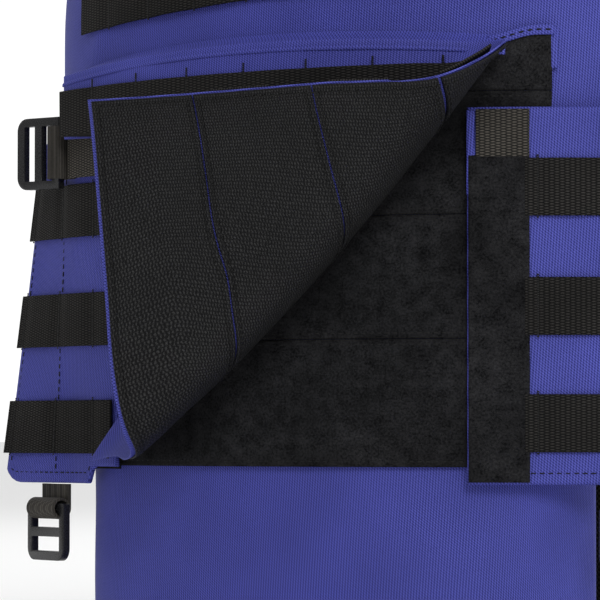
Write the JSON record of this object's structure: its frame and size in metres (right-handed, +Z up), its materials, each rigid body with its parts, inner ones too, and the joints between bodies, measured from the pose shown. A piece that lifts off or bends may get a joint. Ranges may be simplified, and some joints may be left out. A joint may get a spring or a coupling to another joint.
{
  "type": "buoyancy vest",
  "caption": "Foam buoyancy vest in blue nylon with rows of black webbing, side wings, strap buckles and a hook-and-loop front flap whose corner is folded back",
  "frame": {"origin": "between the two shoulder straps, level with their undersides, where the vest sits on the wearer's shoulders", "axes": "+Z up, the vest's front faces -Y, and +X is to the right as seen from the front"},
  "size_m": [0.3558, 0.4053, 0.5219],
  "materials": {
    "blue_nylon": "coarse woven coated nylon, satin",
    "black_webbing": "woven polyester webbing, matte",
    "hook_tape": "rows of small plastic hooks, slight sheen",
    "loop_tape": "brushed loop pile, very matte",
    "foam": "closed-cell foam, matte",
    "lining_mesh": "knitted mesh, matte",
    "buckle_plastic": "moulded acetal, satin"
  },
  "bodies": {
    "front": {"front_cover": "blue_nylon", "front_foam_outer": "foam", "front_foam_inner": "foam", "front_lining": "lining_mesh", "left_shoulder_front": "blue_nylon", "right_shoulder_front": "blue_nylon", "chest_webbing_1": "black_webbing", "chest_webbing_2": "black_webbing", "loop_tape_1": "loop_tape", "loop_tape_2": "loop_tape", "loop_tape_3": "loop_tape", "loop_tape_4": "loop_tape", "left_wing_front": "blue_nylon", "left_wing_strip": "loop_tape", "right_wing_front": "blue_nylon", "right_wing_strip": "loop_tape"},
    "back": {"back_cover": "blue_nylon", "back_foam_outer": "foam", "back_foam_inner": "foam", "back_lining": "lining_mesh", "left_shoulder_back": "blue_nylon", "right_shoulder_back": "blue_nylon", "back_webbing_1": "black_webbing", "back_webbing_2": "black_webbing", "back_webbing_3": "black_webbing", "back_webbing_4": "black_webbing", "back_webbing_5": "black_webbing", "grab_handle": "black_webbing"},
    "flap": {"flap_cover": "blue_nylon", "flap_webbing_1": "black_webbing", "flap_webbing_2": "black_webbing", "flap_webbing_3": "black_webbing", "flap_hook_1": "hook_tape", "flap_hook_2": "hook_tape", "flap_hook_3": "hook_tape", "flap_hook_4": "hook_tape"},
    "flap_corner": {"corner_cover": "blue_nylon", "corner_webbing_2": "black_webbing", "corner_webbing_3": "black_webbing", "corner_hook_1": "hook_tape", "corner_hook_2": "hook_tape", "corner_hook_3": "hook_tape"},
    "left_wing": {"left_wing_panel": "blue_nylon", "left_wing_webbing_1": "black_webbing", "left_wing_webbing_2": "black_webbing", "left_wing_webbing_3": "black_webbing", "left_tab_top": "black_webbing", "left_tab_bottom": "black_webbing"},
    "right_wing": {"right_wing_panel": "blue_nylon", "right_wing_webbing_1": "black_webbing", "right_wing_webbing_2": "black_webbing", "right_wing_webbing_3": "black_webbing", "right_tab_top": "black_webbing", "right_tab_bottom": "black_webbing"},
    "left_top_buckle": {"left_buckle_top": "buckle_plastic"},
    "left_bottom_buckle": {"left_buckle_bottom": "buckle_plastic"},
    "right_top_buckle": {"right_buckle_top": "buckle_plastic"},
    "right_bottom_buckle": {"right_buckle_bottom": "buckle_plastic"}
  },
  "joints": [
    {"name": "flap_lift", "type": "hinge", "parent": "front", "child": "flap", "pos_m": [0, -0.1498, -0.225], "axis": [-1, 0, 0], "range_deg": [0, 60]},
    {"name": "corner_fold", "type": "hinge", "parent": "flap", "child": "flap_corner", "pos_m": [0.044, -0.1626, -0.32322], "axis": [0.7049, 0.0554, 0.7071], "range_deg": [0, 160]},
    {"name": "back_swing", "type": "hinge", "parent": "front", "child": "back", "pos_m": [0, 0, 0.006], "axis": [1, 0, 0], "range_deg": [0, 45]},
    {"name": "left_wing_flex", "type": "hinge", "parent": "front", "child": "left_wing", "pos_m": [-0.11811, -0.11218, -0.3435], "axis": [0, 0, 1], "range_deg": [-10, 25], "stiffness_Nm_per_rad": 0.08},
    {"name": "left_top_swing", "type": "hinge", "parent": "left_wing", "child": "left_top_buckle", "pos_m": [-0.13203, -0.11307, -0.269], "axis": [0, 0, 1], "range_deg": [-8, 65]},
    {"name": "left_bottom_swing", "type": "hinge", "parent": "left_wing", "child": "left_bottom_buckle", "pos_m": [-0.14237, -0.10473, -0.437], "axis": [-0.8913, 0.4534, 0], "range_deg": [-20, 75]},
    {"name": "right_wing_flex", "type": "hinge", "parent": "front", "child": "right_wing", "pos_m": [0.11811, -0.11218, -0.3435], "axis": [0, 0, -1], "range_deg": [-10, 25], "stiffness_Nm_per_rad": 0.08},
    {"name": "right_top_swing", "type": "hinge", "parent": "right_wing", "child": "right_top_buckle", "pos_m": [0.16055, -0.09856, -0.269], "axis": [0, 0, -1], "range_deg": [-8, 65]},
    {"name": "right_bottom_swing", "type": "hinge", "parent": "right_wing", "child": "right_bottom_buckle", "pos_m": [0.16019, -0.09566, -0.437], "axis": [-0.8913, -0.4534, 0], "range_deg": [-20, 75]}
  ]
}
